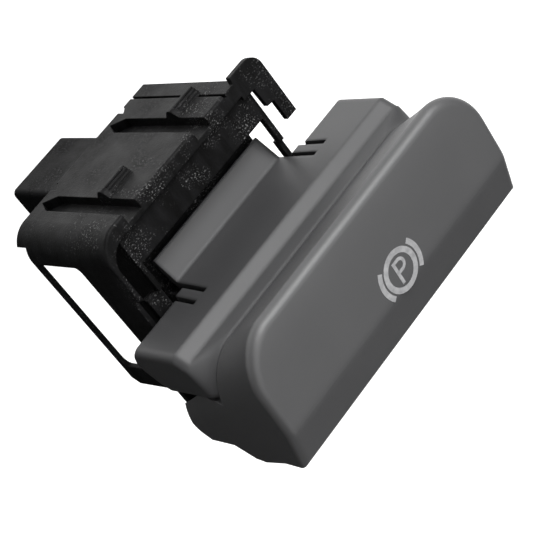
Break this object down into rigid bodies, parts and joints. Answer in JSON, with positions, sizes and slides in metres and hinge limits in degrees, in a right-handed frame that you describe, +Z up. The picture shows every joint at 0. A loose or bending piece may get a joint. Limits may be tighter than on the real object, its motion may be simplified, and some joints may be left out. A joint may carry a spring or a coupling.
{
  "type": "electric parking brake switch",
  "caption": "Rocker switch for an electric parking brake: a wide paddle in a bezel over a switch box with a rear bracket and a socket below.",
  "frame": {"origin": "on the bezel's rear face, 1.3 mm to the left of the paddle's middle, level with the rear bracket's upper rim", "axes": "+X across the width, +Y to the rear (out of the bezel's rear face), +Z up, out of the sign face's side"},
  "size_m": [0.069, 0.046, 0.0797],
  "materials": {
    "soft_grey": "soft-touch satin lacquer, fine grain",
    "bezel_grey": "satin grained plastic",
    "dark_plastic": "satin moulded plastic",
    "black_plastic": "glass-filled black plastic, satin",
    "clear_plastic": "clear moulded plastic",
    "white_plastic": "smooth low-friction plastic",
    "switch_plastic": "small switch case",
    "board": "green solder mask",
    "contact_metal": "tinned brass",
    "steel": "plain bright steel"
  },
  "bodies": {
    "housing": {"switch_housing": "black_plastic", "housing_floor": "black_plastic", "circuit_board": "board", "tactile_switches": "switch_plastic", "sign_lamp": "clear_plastic", "frame_screws": "steel", "floor_screws": "steel", "connector_shroud": "black_plastic", "contact_pins": "contact_metal", "rear_bracket": "black_plastic", "base_frame": "black_plastic", "bezel": "bezel_grey", "pivot_pins": "steel", "pull_spring": "steel", "push_spring": "steel"},
    "paddle": {"paddle_cap": "soft_grey", "paddle_base": "dark_plastic", "paddle_lever": "dark_plastic", "sign_light_guide": "clear_plastic"},
    "pull_plunger": {"pull_plunger": "white_plastic"},
    "push_plunger": {"push_plunger": "white_plastic"}
  },
  "joints": [
    {"name": "paddle_rock", "type": "hinge", "parent": "housing", "child": "paddle", "pos_m": [0.0013, -0.0105, 0.012], "axis": [-1, 0, 0], "range_deg": [-4, 5], "stiffness_Nm_per_rad": 0.6},
    {"name": "pull_plunger_slide", "type": "slide", "parent": "housing", "child": "pull_plunger", "axis": [0, 0, 1], "range_m": [-0.0004, 0.00032], "deforming": ["pull_spring"]},
    {"name": "push_plunger_slide", "type": "slide", "parent": "housing", "child": "push_plunger", "axis": [0, 0, 1], "range_m": [-0.00032, 0.0004], "deforming": ["push_spring"]}
  ],
  "couplings": [
    {"joint": "pull_plunger_slide", "follows": "paddle_rock", "m_per_rad": -0.0045},
    {"joint": "push_plunger_slide", "follows": "paddle_rock", "m_per_rad": 0.0045}
  ]
}
